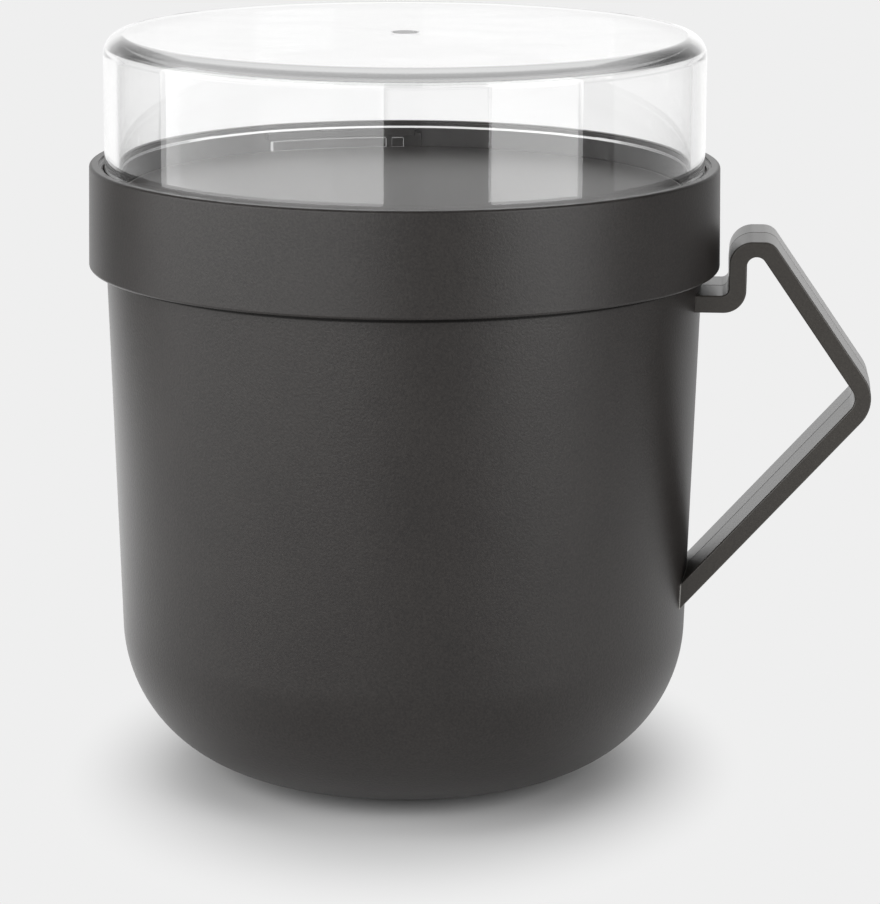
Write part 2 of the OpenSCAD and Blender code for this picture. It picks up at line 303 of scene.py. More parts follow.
def wall_r(z):
    """Radius of the cup's outer wall at height z."""
    return SHOULDER_R - (SHOULDER_H - z) * LEAN


def bore_r(z):
    """Radius of the cup's inner wall at height z."""
    return wall_r(z) - CUP_WALL / math.cos(math.radians(WALL_LEAN))


# Materials
def linear(code):
    """The linear colour of an sRGB hex code."""
    parts = [int(code[i:i + 2], 16) / 255 for i in (0, 2, 4)]
    return [c / 12.92 if c <= 0.04045 else ((c + 0.055) / 1.055) ** 2.4 for c in parts] + [1]


def add(tree, kind, settings=None, **sockets):
    """Adds a node. A socket gets a value, or a link where it's given another node's output.

    A socket goes by its name, or by its number, such as _0, where names are shared.
    """
    node = tree.nodes.new(kind)
    for key, value in (settings or {}).items():
        setattr(node, key, value)
    for key, value in sockets.items():
        number = key[1:]
        socket = node.inputs[int(number) if number.isdigit() else key.replace("_", " ")]
        if isinstance(value, bpy.types.NodeSocket):
            tree.links.new(value, socket)
        else:
            socket.default_value = value
    return node


def new_material(name):
    """A new material, its node tree, and the place on the piece as a node's output."""
    material = bpy.data.materials.new(name)
    material.use_nodes = True
    tree = material.node_tree
    tree.nodes.clear()
    return material, tree, add(tree, "ShaderNodeTexCoord").outputs["Object"]


def level_length(tree, vector):
    """Length of the level part of a vector, which for a place is its way from the axis."""
    level = add(tree, "ShaderNodeVectorMath", {"operation": "MULTIPLY"}, _0=vector, _1=(1.0, 1.0, 0.0))
    return add(tree, "ShaderNodeVectorMath", {"operation": "LENGTH"}, _0=level.outputs[0]).outputs["Value"]


def two_tones(tree, factor, low, high, first, last):
    """A ramp over factor, from the colour first at low to the colour last at high."""
    tone = add(tree, "ShaderNodeValToRGB", Fac=factor)
    for element, position, code in zip(tone.color_ramp.elements, (low, high), (first, last)):
        element.position = position
        element.color = linear(code)
    return tone.outputs["Color"]


# Where the plastics look different, in mm, with the painted shade below the collar and the painted
# highlights at the strap's foot and the tray floor's edge
CLOUD_W = 14
JOINT_SHADE_Z = SHOULDER_H - 1.1
JOINT_SHADE_SOFT = 0.25
SEAM_TOP = 60
SEAM_SOFT = 1.0
SEAM_W, SEAM_W_SOFT = 0.12, 0.22
SATIN_R = COLLAR_TOP_R - 0.4
SATIN_SOFT = 0.2
TRAY_SHEEN_IN, TRAY_SHEEN_OUT = TRAY_R + 0.1, TRAY_R + 0.3
FLOOR_EDGE_R = GUTTER_IN - 0.2
FLOOR_EDGE_Z = TRAY_FLOOR_Z - 0.1
FLOOR_EDGE_W, FLOOR_EDGE_W_SOFT = 0.12, 0.2
FULL_SHEEN = 0.5


def spark_texture(tree, place, dark, light, grain, depth, strength=1.0):
    """Skin from a spark-eroded mould: fine even grains, with faint clouds in its tone.

    It gives the colour and the normal. The grains are what spreads the lamps'
    light to a soft sheen. Grain and depth are in mm.
    """
    grains = add(tree, "ShaderNodeTexNoise", Vector=place, Scale=1 / mm(grain), Detail=2.0, Roughness=0.6)
    clouds = add(tree, "ShaderNodeTexNoise", Vector=place, Scale=1 / mm(CLOUD_W), Detail=3.0, Roughness=0.5)
    both = add(tree, "ShaderNodeMix", {"data_type": "FLOAT"}, _0=0.2, _2=grains.outputs["Fac"],
               _3=clouds.outputs["Fac"])
    bump = add(tree, "ShaderNodeBump", Height=grains.outputs["Fac"], Strength=strength,
               Distance=mm(depth))
    return two_tones(tree, both.outputs[0], 0.35, 0.65, dark, light), bump.outputs["Normal"]


def polypropylene(tree, colour, normal, roughness, sheen=FULL_SHEEN):
    """Moulded polypropylene: an opaque, slightly waxy plastic."""
    skin = add(tree, "ShaderNodeBsdfPrincipled", Base_Color=colour, Roughness=roughness, Normal=normal,
               IOR=1.49, Specular_IOR_Level=sheen)
    add(tree, "ShaderNodeOutputMaterial", Surface=skin.outputs["BSDF"])


def cup_polypropylene(name, dark, light):
    """Polypropylene with a spark-eroded skin, dull and even.

    Painted shade darkens its colour and sheen from right below the collar up, as
    little light gets into the joint, so the neck stays dark when the lid is lifted.
    """
    material, tree, place = new_material(name)
    tone, normal = spark_texture(tree, place, dark, light, grain=0.42, depth=0.04)
    height = add(tree, "ShaderNodeSeparateXYZ", Vector=place).outputs["Z"]
    # Painted shade: below the collar the colour and sheen drop to a quarter.
    share = add(tree, "ShaderNodeMapRange", Value=height, From_Min=mm(JOINT_SHADE_Z),
                From_Max=mm(JOINT_SHADE_Z + JOINT_SHADE_SOFT), To_Min=1.0, To_Max=0.25).outputs["Result"]
    shaded = add(tree, "ShaderNodeVectorMath", {"operation": "SCALE"}, _0=tone, Scale=share)
    sheen = add(tree, "ShaderNodeMath", {"operation": "MULTIPLY"}, _0=share, _1=FULL_SHEEN)
    polypropylene(tree, shaded.outputs[0], normal, 0.38, sheen.outputs[0])
    return material


def handle_polypropylene(name, dark, light):
    """Polypropylene from a finer tool, satin to the eye.

    A painted highlight, a pale line, shows low down where the strap's foot meets the wall of the cup.
    """
    material, tree, place = new_material(name)
    tone, normal = spark_texture(tree, place, dark, light, grain=0.3, depth=0.01)
    height = add(tree, "ShaderNodeSeparateXYZ", Vector=place).outputs["Z"]
    wall = add(tree, "ShaderNodeMapRange", Value=height, From_Min=0.0, From_Max=mm(SHOULDER_H),
               To_Min=mm(wall_r(0)), To_Max=mm(SHOULDER_R))
    off_wall = add(tree, "ShaderNodeMath", {"operation": "SUBTRACT"}, _0=level_length(tree, place),
                   _1=wall.outputs["Result"])
    close = add(tree, "ShaderNodeMapRange", Value=off_wall.outputs[0], From_Min=mm(SEAM_W_SOFT),
                From_Max=mm(SEAM_W))
    low = add(tree, "ShaderNodeMapRange", Value=height, From_Min=mm(SEAM_TOP),
              From_Max=mm(SEAM_TOP - SEAM_SOFT))
    # Painted highlight: pale where the strap's foot meets the wall, low down.
    seam_highlight = add(tree, "ShaderNodeMath", {"operation": "MULTIPLY"}, _0=close.outputs["Result"],
               _1=low.outputs["Result"])
    colour = add(tree, "ShaderNodeMix", {"data_type": "RGBA"}, _0=seam_highlight.outputs[0], _6=tone,
                 _7=linear("a09e9a"))
    polypropylene(tree, colour.outputs[2], normal, 0.3)
    return material


def lid_polypropylene(name, dark, light):
    """Polypropylene with a spark-eroded skin outside, and satin within the collar.

    A painted highlight, a fine pale line, runs along the edge of the tray floor.
    """
    material, tree, place = new_material(name)
    reach = level_length(tree, place)
    outside = add(tree, "ShaderNodeMapRange", Value=reach, From_Min=mm(SATIN_R - SATIN_SOFT),
                  From_Max=mm(SATIN_R + SATIN_SOFT)).outputs["Result"]
    tone, normal = spark_texture(tree, place, dark, light, grain=0.42, depth=0.03, strength=outside)
    height = add(tree, "ShaderNodeSeparateXYZ", Vector=place).outputs["Z"]
    # Painted highlight: a fine pale line along the tray floor's edge.
    from_edge = add(tree, "ShaderNodeMath", {"operation": "SUBTRACT"}, _0=reach, _1=mm(FLOOR_EDGE_R))
    aside = add(tree, "ShaderNodeMath", {"operation": "ABSOLUTE"}, _0=from_edge.outputs[0])
    line = add(tree, "ShaderNodeMapRange", Value=aside.outputs[0], From_Min=mm(FLOOR_EDGE_W_SOFT),
               From_Max=mm(FLOOR_EDGE_W))
    above = add(tree, "ShaderNodeMath", {"operation": "GREATER_THAN"}, _0=height, _1=mm(FLOOR_EDGE_Z))
    edge = add(tree, "ShaderNodeMath", {"operation": "MULTIPLY"}, _0=line.outputs["Result"],
               _1=above.outputs[0])
    colour = add(tree, "ShaderNodeMix", {"data_type": "RGBA"}, _0=edge.outputs[0], _6=tone,
                 _7=linear("a3a19e"))
    dull = add(tree, "ShaderNodeMapRange", Value=outside, To_Min=0.315, To_Max=0.42)
    sheen = add(tree, "ShaderNodeMapRange", Value=reach, From_Min=mm(TRAY_SHEEN_IN),
                From_Max=mm(TRAY_SHEEN_OUT), To_Min=0.3, To_Max=FULL_SHEEN)
    polypropylene(tree, colour.outputs[2], normal, dull.outputs["Result"], sheen.outputs["Result"])
    return material


# Painted light: past this number of turns in its way, a ray inside the cap sees an even grey glow that
# stands for the light guided there.
GUIDED_DEPTH, GUIDED_DEPTH_TOP = 5.5, 3.5
GUIDED_TOP_Z = CAP_TOP - CAP_CORNER_R
GUIDED_TOP_SOFT = 0.1
# It fades over its run from the front edge, and towards the two sides.
GUIDED_RUN = (20, 28)
GUIDED_SIDES = (36, 45)

# The painted shade in the cap's rounded corner gets wider and deeper towards its two ends.
SHADE_ENDS = (34, 46)
SHADE_WIDTHS = (1.5, 3.4)
SHADE_DEPTHS = (0.55, 0.9)
SHADE_SOFT = 0.3
SHADE_DROPS = (2.15, 2.08)
# It fades out on the way back, which is measured along this direction.
BACKWARD = (-0.073, 1.0, 0.0)
SHADE_BACK = (-6, -13)


def guided_grey(tree, place):
    """Brightness of the painted glow that stands for the light guided to a place inside the top of the cap.
    """
    part = add(tree, "ShaderNodeSeparateXYZ", Vector=place)
    squared = add(tree, "ShaderNodeMath", {"operation": "MULTIPLY"}, _0=part.outputs["X"],
                  _1=part.outputs["X"])
    rest = add(tree, "ShaderNodeMath", {"operation": "SUBTRACT"}, _0=mm(CAP_R) ** 2,
               _1=squared.outputs[0])
    edge = add(tree, "ShaderNodeMath", {"operation": "SQRT"}, _0=rest.outputs[0])
    run = add(tree, "ShaderNodeMath", {"operation": "ADD"}, _0=part.outputs["Y"], _1=edge.outputs[0])
    along = add(tree, "ShaderNodeMapRange", Value=run.outputs[0], From_Min=mm(GUIDED_RUN[0]),
                From_Max=mm(GUIDED_RUN[1]), To_Min=0.78, To_Max=0.53)
    side = add(tree, "ShaderNodeMath", {"operation": "ABSOLUTE"}, _0=part.outputs["X"])
    across = add(tree, "ShaderNodeMapRange", Value=side.outputs[0], From_Min=mm(GUIDED_SIDES[0]),
                 From_Max=mm(GUIDED_SIDES[1]), To_Min=1.0, To_Max=0.47)
    return add(tree, "ShaderNodeMath", {"operation": "MULTIPLY"}, _0=along.outputs["Result"],
               _1=across.outputs["Result"]).outputs[0]


def corner_shade(tree, place):
    """How much painted shade greys the rounded front corner of the cap: most at its two ends."""
    part = add(tree, "ShaderNodeSeparateXYZ", Vector=place)
    side = add(tree, "ShaderNodeMath", {"operation": "ABSOLUTE"}, _0=part.outputs["X"]).outputs[0]
    begins = add(tree, "ShaderNodeMapRange", Value=side, From_Min=mm(SHADE_ENDS[0]),
                 From_Max=mm(SHADE_ENDS[1]), To_Min=mm(CAP_R - SHADE_WIDTHS[0]),
                 To_Max=mm(CAP_R - SHADE_WIDTHS[1]))
    within = add(tree, "ShaderNodeMath", {"operation": "SUBTRACT"}, _0=level_length(tree, place),
                 _1=begins.outputs["Result"])
    outer = add(tree, "ShaderNodeMapRange", Value=within.outputs[0], From_Min=0.0,
                From_Max=mm(SHADE_SOFT))
    upper = add(tree, "ShaderNodeMapRange", Value=part.outputs["Z"],
                From_Min=mm(CAP_TOP - SHADE_DROPS[0]), From_Max=mm(CAP_TOP - SHADE_DROPS[1]))
    backward = add(tree, "ShaderNodeVectorMath", {"operation": "DOT_PRODUCT"}, _0=place, _1=BACKWARD)
    front = add(tree, "ShaderNodeMapRange", Value=backward.outputs["Value"],
                From_Min=mm(SHADE_BACK[0]), From_Max=mm(SHADE_BACK[1]))
    share = add(tree, "ShaderNodeMapRange", Value=side, From_Min=mm(SHADE_ENDS[0]),
                From_Max=mm(SHADE_ENDS[1]), To_Min=SHADE_DEPTHS[0], To_Max=SHADE_DEPTHS[1])
    for mask in (outer, upper, front):
        share = add(tree, "ShaderNodeMath", {"operation": "MULTIPLY"}, _0=share.outputs[0],
                    _1=mask.outputs["Result"])
    return share.outputs[0]


def clear_copolyester(name):
    """Clear moulded copolyester, polished tool: sharp reflections, bright edges.

    Lamps' light goes straight through it to the tray, as it nearly does in fact.
    Light that many reflections have guided inside it is painted as a glow of even grey.
    """
    material, tree, place = new_material(name)
    flow = add(tree, "ShaderNodeTexNoise", Vector=place, Scale=1 / mm(18), Detail=1.0)
    bump = add(tree, "ShaderNodeBump", Height=flow.outputs["Fac"], Strength=1.0, Distance=mm(0.02))
    # Painted shade: the colour of the rounded front corner is drawn towards dark grey.
    tint = add(tree, "ShaderNodeMix", {"data_type": "RGBA"}, _0=corner_shade(tree, place),
               _6=linear("fefefe"), _7=linear("101010"))
    clear = add(tree, "ShaderNodeBsdfPrincipled", Base_Color=tint.outputs[2], Roughness=0.0,
                IOR=1.57, Normal=bump.outputs["Normal"], Transmission_Weight=1.0)
    straight = add(tree, "ShaderNodeBsdfTransparent", Color=linear("f5f5f5"))
    ray = add(tree, "ShaderNodeLightPath")
    through = add(tree, "ShaderNodeMixShader", _0=ray.outputs["Is Shadow Ray"],
                  _1=clear.outputs["BSDF"], _2=straight.outputs["BSDF"])
    height = add(tree, "ShaderNodeSeparateXYZ", Vector=place).outputs["Z"]
    limit = add(tree, "ShaderNodeMapRange", Value=height, From_Min=mm(GUIDED_TOP_Z - GUIDED_TOP_SOFT),
                From_Max=mm(GUIDED_TOP_Z), To_Min=GUIDED_DEPTH, To_Max=GUIDED_DEPTH_TOP)
    guided = add(tree, "ShaderNodeMath", {"operation": "GREATER_THAN"}, _0=ray.outputs["Ray Depth"],
                 _1=limit.outputs["Result"])
    # Painted light: a grey glow for rays that have turned many times inside the cap.
    grey = add(tree, "ShaderNodeEmission", Color=linear("fefefe"), Strength=guided_grey(tree, place))
    mixed = add(tree, "ShaderNodeMixShader", _0=guided.outputs[0], _1=through.outputs[0],
                _2=grey.outputs[0])
    add(tree, "ShaderNodeOutputMaterial", Surface=mixed.outputs["Shader"])
    material.cycles.emission_sampling = "NONE"
    return material


def seal_silicone(name, tint):
    """Milky moulded silicone: soft sheen, light bleeds a little way into it."""
    material, tree, place = new_material(name)
    haze = add(tree, "ShaderNodeTexNoise", Vector=place, Scale=1 / mm(0.8), Detail=2.0)
    tone = two_tones(tree, haze.outputs["Fac"], 0.0, 1.0, tint, "e4e5e2")
    bump = add(tree, "ShaderNodeBump", Height=haze.outputs["Fac"], Strength=1.0, Distance=mm(0.01))
    milky = add(tree, "ShaderNodeBsdfPrincipled", Base_Color=tone, Roughness=0.38, IOR=1.41,
                Normal=bump.outputs["Normal"], Transmission_Weight=0.6)
    add(tree, "ShaderNodeOutputMaterial", Surface=milky.outputs["BSDF"])
    return material


cup_plastic = cup_polypropylene("polypropylene_spark_texture_cup", "211e1d", "2e2b29")
handle_plastic = handle_polypropylene("polypropylene_satin_handle", "383532", "403d39")
lid_plastic = lid_polypropylene("polypropylene_spark_texture_lid", "1f1c1b", "2c2927")
cap_plastic = clear_copolyester("copolyester_clear_cap")
lid_silicone = seal_silicone("silicone_milky_lid_seal", "c9cac6")
cap_silicone = seal_silicone("silicone_milky_cap_seal", "d6d7d4")

# Cup. The corner's circle touches the leaning wall and the flank that rises from the foot.
FLANK = math.radians(FLANK_SLOPE)
CORNER_OFF = CORNER_R / math.cos(math.radians(WALL_LEAN))
CORNER_Z = (CORNER_R / math.cos(FLANK) + (wall_r(0) - CORNER_OFF - FOOT_R) * math.tan(FLANK)
            ) / (1 - LEAN * math.tan(FLANK))
CORNER_X = wall_r(CORNER_Z) - CORNER_OFF
RECESS_R = FOOT_R - FOOT_RING_W
BORE_FLOOR = CORNER_Z - CORNER_R + CUP_WALL

cup_profile = (
    [(0, FOOT_RECESS)]
    + rounded(RECESS_R, FOOT_RECESS, RECESS_ROUND, 90, 0, 5)
    + [(RECESS_R, FOOT_BEVEL), (RECESS_R + FOOT_BEVEL, 0)]
    + [(FOOT_R - FOOT_EDGE_W, 0), (FOOT_R, FOOT_EDGE_H)]
    + arc(CORNER_X, CORNER_Z, CORNER_R, FLANK_SLOPE - 90, -WALL_LEAN, 48)
    + [(wall_r(z), z) for z in CUP_RINGS]
    + [(SHOULDER_R, SHOULDER_H), (wall_r(STEP_Z - STEP_BEVEL), STEP_Z - STEP_BEVEL)]
    + [(wall_r(STEP_Z) - STEP_BEVEL, STEP_Z), (NECK_R, STEP_Z)]
    + rounded(NECK_R, RIM_Z, RIM_ROUND, 0, 90, 6)
    + rounded(bore_r(RIM_Z), RIM_Z, RIM_ROUND, 90, 180, 6)
    + [(bore_r(z), z) for z in reversed(CUP_RINGS)]
    + arc(CORNER_X, CORNER_Z, CORNER_R - CUP_WALL, -WALL_LEAN, -90, 48)
    + [(BORE_RING, BORE_FLOOR), (0, BORE_FLOOR)]
)
cup = lathe("cup_shell", cup_profile)
for n in range(LUGS):
    join(cup, arc_block("neck_lug", NECK_R - LUG_SINK, SKIRT_R - TURN_GAP, LUG_Z, LUG_Z + LUG_H,
                        LUG_BEARING + n * PITCH - LUG_ARC / 2, LUG_ARC, LUG_ROUND))
finish_piece(cup, "mug", "cup", cup_plastic)


# Handle
def crossing(p, u, q, v):
    """Where the line from p along u meets the line from q along v."""
    t = ((q - p).x * v.y - (q - p).y * v.x) / (u.x * v.y - u.y * v.x)
    return p + u * t


def strap_corners():
    """Corners of the strap's outline, (x, z), each with its radius.

    It starts inside the wall, goes out under the leg to the elbow's inner face
    and back to the wall, then returns along the face that looks up and out. The
    radii follow the strap's thickness, and a negative one marks a corner that
    opens away from the strap.
    """
    lean, slope = math.radians(UPPER_LEAN), math.radians(LOWER_SLOPE)
    upper, upper_out = Vector((math.sin(lean), -math.cos(lean))), Vector((math.cos(lean), math.sin(lean)))
    lower = Vector((-math.cos(slope), -math.sin(slope)))
    lower_out = Vector((math.sin(slope), -math.cos(slope)))
    elbow = Vector(ELBOW)
    upper_in, lower_in = elbow - upper_out * STRAP_T, elbow - lower_out * STRAP_T
    up, level, wall = Vector((0, 1)), Vector((1, 0)), Vector((LEAN, 1))
    inside = Vector((SHOULDER_R - STRAP_SINK, SHOULDER_H))
    leg_bottom = Vector((UPRIGHT_X, LEG_TOP - STRAP_T))
    return [
        (crossing(inside, wall, leg_bottom, level), 0),
        (leg_bottom, STRAP_T * 1.25),
        (crossing(leg_bottom, up, upper_in, upper), -STRAP_T * 0.48),
        (crossing(upper_in, upper, lower_in, lower), -STRAP_T * 0.77),
        (crossing(inside, wall, lower_in, lower), 0),
        (crossing(inside, wall, elbow, lower), 0),
        (elbow, STRAP_T * 1.95),
        (crossing(Vector((UPRIGHT_X, CROWN_Z)), level, elbow, upper), STRAP_T * 0.9),
        (Vector((UPRIGHT_X - STRAP_T, CROWN_Z)), STRAP_T * 1.3),
        (Vector((UPRIGHT_X - STRAP_T, LEG_TOP)), -STRAP_T * 0.35),
        (crossing(inside, wall, Vector((UPRIGHT_X, LEG_TOP)), level), 0),
    ]


def strap_outline(inset):
    """Points of the outline moved in by inset mm, with its corners rounded."""
    corners = strap_corners()
    points = []
    for i, (here, radius) in enumerate(corners):
        back = (corners[i - 1][0] - here).normalized()
        on = (corners[(i + 1) % len(corners)][0] - here).normalized()
        into_a, into_b = Vector((back.y, -back.x)), Vector((-on.y, on.x))
        corner = crossing(here + into_a * inset, back, here + into_b * inset, on)
        if radius == 0:
            points.append(corner)
            continue
        r = abs(radius) + (inset if radius < 0 else -inset)
        half = back.angle(on) / 2
        middle = corner + (back + on).normalized() * (r / math.sin(half))
        first = corner + back * (r / math.tan(half)) - middle
        start = math.atan2(first.y, first.x)
        sweep = (math.pi - 2 * half) * (1 if radius > 0 else -1)
        for k in range(BEND_STEPS + 1):
            turn = start + sweep * k / BEND_STEPS
            points.append(middle + Vector((math.cos(turn), math.sin(turn))) * r)
    return points


def strap_layers():
    """Layers across the width: places from side to side, and the outline's inset there.

    From the parting line to each side there are its groove, the draft and the bevel.
    """
    side = STRAP_W / 2
    half = PARTING_GROOVE + [(side - STRAP_BEVEL - STRAP_LAND, STRAP_DRAFT)]
    for k in range(BEVEL_STEPS + 1):
        turn = math.radians(90 * k / BEVEL_STEPS)
        half.append((side - STRAP_BEVEL * (1 - math.sin(turn)),
                     STRAP_DRAFT + STRAP_BEVEL * (1 - math.cos(turn))))
    return [(-y, inset) for y, inset in reversed(half[1:])] + half


layers = strap_layers()
handle = begin_piece("handle_strap")
for n, (y, inset) in enumerate(layers):
    if n:
        bpy.ops.mesh.select_all(action="DESELECT")
        bpy.ops.mesh.primitive_plane_add(size=mm(1))
    draw_line([(p.x, y, p.y) for p in strap_outline(inset)], True)
bpy.ops.mesh.select_all(action="SELECT")
bpy.ops.mesh.remove_doubles(threshold=WELD)
for (y0, _), (y1, _) in zip(layers, layers[1:]):
    pick(handle, lambda at: mm(y0) - WELD <= at.y <= mm(y1) + WELD)
    bpy.ops.mesh.bridge_edge_loops()
for y in (-STRAP_W / 2, STRAP_W / 2):
    pick(handle, lambda at: abs(at.y - mm(y)) < WELD)
    bpy.ops.mesh.edge_face_add()
weld()
bpy.ops.object.mode_set(mode="OBJECT")
finish_piece(handle, "mug", "handle", handle_plastic, crease=25)

# Seals
PLUG_R = bore_r(RIM_Z) - 2 * TURN_GAP
LID_SEAL_IN = PLUG_R + TURN_GAP


def ring_profile(r_in, r_out, z0, z1, r):
    """A rectangle with round corners."""
    return (rounded(r_in, z0, r, 180, 270, 4) + rounded(r_out, z0, r, 270, 360, 4)
            + rounded(r_out, z1, r, 0, 90, 4) + rounded(r_in, z1, r, 90, 180, 4))


lid_seal = lathe("lid_seal_ring",
                 ring_profile(LID_SEAL_IN, LID_SEAL_IN + LID_SEAL_W, RIM_Z, SEAL_TOP, LID_SEAL_ROUND))
finish_piece(lid_seal, "lid_ring", "lid_seal", lid_silicone)
cap_seal = lathe("cap_seal_ring",
                 ring_profile(CAP_BORE_R, CAP_BORE_R + CAP_SEAL_W, GUTTER_Z, CAP_FOOT_Z, CAP_SEAL_ROUND))
finish_piece(cap_seal, "cap_ring", "cap_seal", cap_silicone)

# Lid
TOP_IN = TRAY_R + RIM_LEDGE_W
LEDGE_TOP = COLLAR_TOP - RIM_LEDGE_DROP
PLUG_BORE_R = PLUG_R - PLUG_T
PLUG_FOOT_Z = SEAL_TOP - PLUG_DROP
TRAY_UNDER_Z = TRAY_FLOOR_Z - TRAY_FLOOR_T
lid_profile = (
    [(0, TRAY_FLOOR_Z), (TRAY_RING, TRAY_FLOOR_Z)]
    + rounded(GUTTER_IN, TRAY_FLOOR_Z, TRAY_EDGE_ROUND, 90, 0, 4)
    + rounded(GUTTER_IN, GUTTER_Z, GUTTER_ROUND, 180, 270, 3)
    + rounded(TRAY_R, GUTTER_Z, GUTTER_ROUND, 270, 360, 3)
    + [(TRAY_R, LEDGE_TOP - RIM_BEVEL), (TRAY_R + RIM_BEVEL, LEDGE_TOP)]
    + [(TOP_IN - EDGE, LEDGE_TOP), (TOP_IN, LEDGE_TOP + EDGE)]
    + rounded(TOP_IN, COLLAR_TOP, RIM_LEDGE_ROUND, 180, 90, 3)
    + rounded(COLLAR_TOP_R, COLLAR_TOP, COLLAR_ROUND, 90, 0, 10)
    + [(COLLAR_TOP_R + COLLAR_TAPER, COLLAR_RING_HIGH), (COLLAR_R - COLLAR_TAPER, COLLAR_RING_LOW)]
    + rounded(COLLAR_R, SHOULDER_H, COLLAR_ROUND, 0, -90, 10)
    + rounded(SKIRT_R, SHOULDER_H, SKIRT_ROUND, 270, 180, 4)
    + [(SKIRT_R, SEAL_TOP - SKIRT_BEVEL), (SKIRT_R - SKIRT_BEVEL, SEAL_TOP)]
    + [(PLUG_R + SKIRT_BEVEL, SEAL_TOP), (PLUG_R, SEAL_TOP - SKIRT_BEVEL)]
    + rounded(PLUG_R, PLUG_FOOT_Z, PLUG_ROUND, 0, -90, 5)
    + rounded(PLUG_BORE_R, PLUG_FOOT_Z, PLUG_BORE_ROUND, 270, 180, 5)
    + rounded(PLUG_BORE_R, TRAY_UNDER_Z, TRAY_UNDER_ROUND, 0, 90, 4)
    + [(TRAY_RING, TRAY_UNDER_Z), (0, TRAY_UNDER_Z)]
)
lid = lathe("lid_moulding", lid_profile)
KEEPER_IN_R = CAP_FOOT_R + TURN_GAP
KEEPER_ARC = CAP_LUG_ARC + 2 * TURN_GAP_ARC + KEEPER_STOP_ARC / 2
for n in range(LUGS):
    locked = CAP_LUG_BEARING + n * PITCH - CAP_LUG_ARC / 2 - TURN_GAP_ARC
    join(lid, arc_block("keeper", KEEPER_IN_R, TRAY_R + KEEPER_SINK, KEEPER_Z, KEEPER_Z + KEEPER_H,
                        locked - KEEPER_STOP_ARC / 2, KEEPER_ARC, KEEPER_ROUND))
    join(lid, arc_block("keeper_stop", KEEPER_IN_R + TURN_GAP, TRAY_R + KEEPER_STOP_SINK, CAP_LUG_Z,
                        KEEPER_Z + KEEPER_H / 2, locked - KEEPER_STOP_ARC, KEEPER_STOP_ARC))
    middle = LUG_BEARING + n * PITCH
    join(lid, arc_block("ledge", NECK_R + TURN_GAP, SKIRT_R + LEDGE_SINK, LEDGE_Z, LEDGE_Z + LEDGE_H,
                        middle - LEDGE_ARC / 2, LEDGE_ARC, LEDGE_ROUND))
    join(lid, arc_block("stop", NECK_R + 2 * TURN_GAP, SKIRT_R + STOP_SINK, LEDGE_Z + LEDGE_H / 2,
                        LUG_Z + LUG_H, middle + LUG_ARC / 2 + TURN_GAP_ARC, STOP_ARC))
finish_piece(lid, "lid_body", "lid", lid_plastic)

# Cap
GATE_FLOOR_Z = CAP_TOP - GATE_DEPTH
CAP_STEP_TOP = CAP_STEP_Z + CAP_STEP_RISE
CAP_UNDER_Z = CAP_TOP - CAP_WALL
cap_profile = (
    [(0, GATE_FLOOR_Z)]
    + arc(GATE_R, CAP_TOP, GATE_DEPTH, -90, -15, 5)
    + [(GATE_R + GATE_DEPTH + GATE_LIP_W, CAP_TOP - GATE_LIP_H), (GATE_R + 2 * GATE_DEPTH, CAP_TOP)]
    + [(r, CAP_TOP) for r in CAP_TOP_RINGS]
    + rounded(CAP_R, CAP_TOP, CAP_CORNER_R, 90, 0, 20)
    + [(CAP_R, z) for z in reversed(CAP_RINGS)]
    + [(CAP_R, CAP_STEP_TOP + EDGE + EDGE_RISE), (CAP_R - EDGE, CAP_STEP_TOP - EDGE_RISE)]
    + [(CAP_FOOT_R + EDGE, CAP_STEP_Z + EDGE_RISE), (CAP_FOOT_R, CAP_STEP_Z - EDGE)]
    + rounded(CAP_FOOT_R, CAP_FOOT_Z, CAP_FOOT_ROUND, 0, -90, 6)
    + rounded(CAP_BORE_R, CAP_FOOT_Z, CAP_BORE_ROUND, 270, 180, 4)
    + [(CAP_BORE_R, z) for z in CAP_RINGS]
    + rounded(CAP_BORE_R, CAP_UNDER_Z, CAP_CORNER_R - CAP_WALL, 0, 90, 14)
    + [(r, CAP_UNDER_Z) for r in reversed(CAP_TOP_RINGS)] + [(0, CAP_UNDER_Z)]
)
cap = lathe("clear_cap", cap_profile)
# Each lug is a click block, a notch and a longer block.
CLICK_ARC = math.degrees(CLICK_W / CAP_R)
LONG_START = CLICK_ARC + math.degrees(NOTCH_W / CAP_R)
for n in range(LUGS):
    first = CAP_LUG_BEARING + n * PITCH - CAP_LUG_ARC / 2
    for start, sweep in ((first, CLICK_ARC), (first + LONG_START, CAP_LUG_ARC - LONG_START)):
        join(cap, arc_block("cap_lug", (CAP_BORE_R + CAP_FOOT_R) / 2, CAP_R, CAP_LUG_Z,
                            CAP_LUG_Z + CAP_LUG_H, start, sweep, CAP_LUG_ROUND))
finish_piece(cap, "cap_body", "cap", cap_plastic)

# Studio. The camera was found from the collar's two ellipses in the photo and the mug's axis.
IMAGE_W, IMAGE_H = 880, 904
FOCAL = 4253.0
TARGET = Vector((0, 0, SHOULDER_H))
TARGET_PX = (404.711, 262.948)
DISTANCE = 751.4
CAMERA_BEARING, CAMERA_ELEVATION, CAMERA_ROLL = 4.2, 9.809, 0.161
SENSOR = 36

BACKDROP = linear("efefef")
PANEL = linear("f8f8f8")
# The panel's zones lie between these columns of the picture. Slopes are the drop of
# a line of sight for its run: the zones begin below the cap's flat top and end at the tray.
PANEL_COLUMNS = (-700, 1300)
TOP_SLOPES = (-0.1258, -0.1299)
TRAY_SLOPES = (-0.155, -0.145)
# What stands this far behind the middle is on the back side, in m.
BEHIND = 0.01
# Ways on the floor from the axis, in mm, counted less to the front and back: over them
# it turns from a lit floor to plain backdrop, and in the mug's gloss it gets brighter
# and then passes into the surroundings.
OVAL = (1.0, 0.7, 1.0)
LIT_FLOOR = (32, 62)
NEAR_FLOOR = (80, 260)
FAR_FLOOR = (270, 400)

